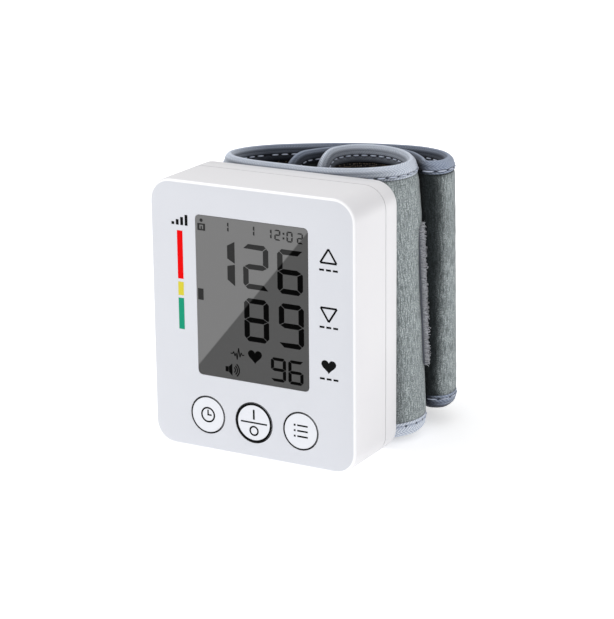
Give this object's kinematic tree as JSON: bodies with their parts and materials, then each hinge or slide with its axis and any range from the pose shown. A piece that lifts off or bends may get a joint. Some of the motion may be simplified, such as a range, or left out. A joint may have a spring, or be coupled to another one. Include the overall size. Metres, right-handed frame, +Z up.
{
  "type": "wrist blood pressure monitor",
  "caption": "Wrist blood pressure monitor: upright rounded box with a display, round keys and a side battery cover, screwed to a rolled fabric cuff.",
  "frame": {"origin": "centre of the housing's bottom face, half way between its front and its back", "axes": "+Z up along the housing's height, -Y out of the face with the display, +Y towards the cuff, +X to the right as the display is read"},
  "size_m": [0.069, 0.066, 0.0803],
  "materials": {
    "white_plastic": "smooth moulded white plastic with a soft sheen",
    "grey_plastic": "plain moulded grey plastic",
    "dark_plastic": "plain moulded black plastic",
    "window": "clear polished window over a grey display",
    "display_glass": "grey liquid crystal glass",
    "rubber": "matt silicone rubber",
    "steel": "plated steel",
    "board": "green circuit board",
    "cell": null,
    "loop_pile": "grey brushed loop pile",
    "dark_mesh": "black fine mesh",
    "twill_tape": "slate blue twill tape, stitched",
    "bladder_film": "soft film",
    "hook_tape": "grey hook tape"
  },
  "bodies": {
    "housing": {"front_shell": "white_plastic", "rear_shell": "white_plastic", "shell_screw_1": "steel", "shell_screw_2": "steel", "shell_screw_3": "steel", "shell_screw_4": "steel", "lcd_window": "window", "lcd_panel": "display_glass", "lcd_frame": "dark_plastic", "contact_strip_upper": "rubber", "contact_strip_lower": "rubber", "switch_left": "steel", "switch_middle": "steel", "switch_right": "steel", "main_board": "board", "board_screw_1": "steel", "board_screw_2": "steel", "controller_chip": "dark_plastic", "buzzer": "dark_plastic", "pump_motor": "steel", "pump_head": "dark_plastic", "release_valve": "grey_plastic", "pressure_sensor": "dark_plastic", "air_manifold": "grey_plastic", "hose_pump": "rubber", "hose_valve": "rubber", "hose_sensor": "rubber", "hose_cuff": "rubber", "battery_tray": "dark_plastic", "battery_cell_1": "cell", "battery_cell_2": "cell", "contact_spring": "steel", "contact_button": "steel", "contact_bridge": "steel", "cuff_outer_fixed": "loop_pile", "cuff_outer_fold": "loop_pile", "cuff_lining_fixed": "dark_mesh", "cuff_lining_fold": "dark_mesh", "cuff_binding_fixed": "twill_tape", "cuff_binding_fold_upper": "twill_tape", "cuff_binding_fold_lower": "twill_tape", "cuff_stiffener": "grey_plastic", "air_bladder": "bladder_film", "air_nipple": "grey_plastic", "cuff_screw_1": "steel", "cuff_screw_2": "steel", "cuff_screw_3": "steel", "cuff_screw_4": "steel", "hook_patch": "hook_tape"},
    "left_key": {"key_left": "white_plastic", "plunger_left": "dark_plastic"},
    "middle_key": {"key_middle": "white_plastic", "plunger_middle": "dark_plastic"},
    "right_key": {"key_right": "white_plastic", "plunger_right": "dark_plastic"},
    "battery_door": {"battery_cover": "white_plastic"},
    "cuff_flap": {"cuff_outer_flap": "loop_pile", "cuff_lining_flap": "dark_mesh", "cuff_binding_flap": "twill_tape"}
  },
  "joints": [
    {"name": "left_key_press", "type": "slide", "parent": "housing", "child": "left_key", "axis": [0, 1, 0], "range_m": [0, 0.0005], "stiffness_N_per_m": 1500, "springref_m": -0.0002},
    {"name": "middle_key_press", "type": "slide", "parent": "housing", "child": "middle_key", "axis": [0, 1, 0], "range_m": [0, 0.0005], "stiffness_N_per_m": 1500, "springref_m": -0.0002},
    {"name": "right_key_press", "type": "slide", "parent": "housing", "child": "right_key", "axis": [0, 1, 0], "range_m": [0, 0.0005], "stiffness_N_per_m": 1500, "springref_m": -0.0002},
    {"name": "battery_cover_pull", "type": "slide", "parent": "housing", "child": "battery_door", "axis": [-1, 0, 0], "range_m": [0, 0.012]},
    {"name": "cuff_opening", "type": "hinge", "parent": "housing", "child": "cuff_flap", "pos_m": [-0.0262, 0.0218, 0], "axis": [0, 0, 1], "range_deg": [0, 100], "deforming": ["cuff_outer_fold", "cuff_lining_fold", "cuff_binding_fold_upper", "cuff_binding_fold_lower"]}
  ]
}
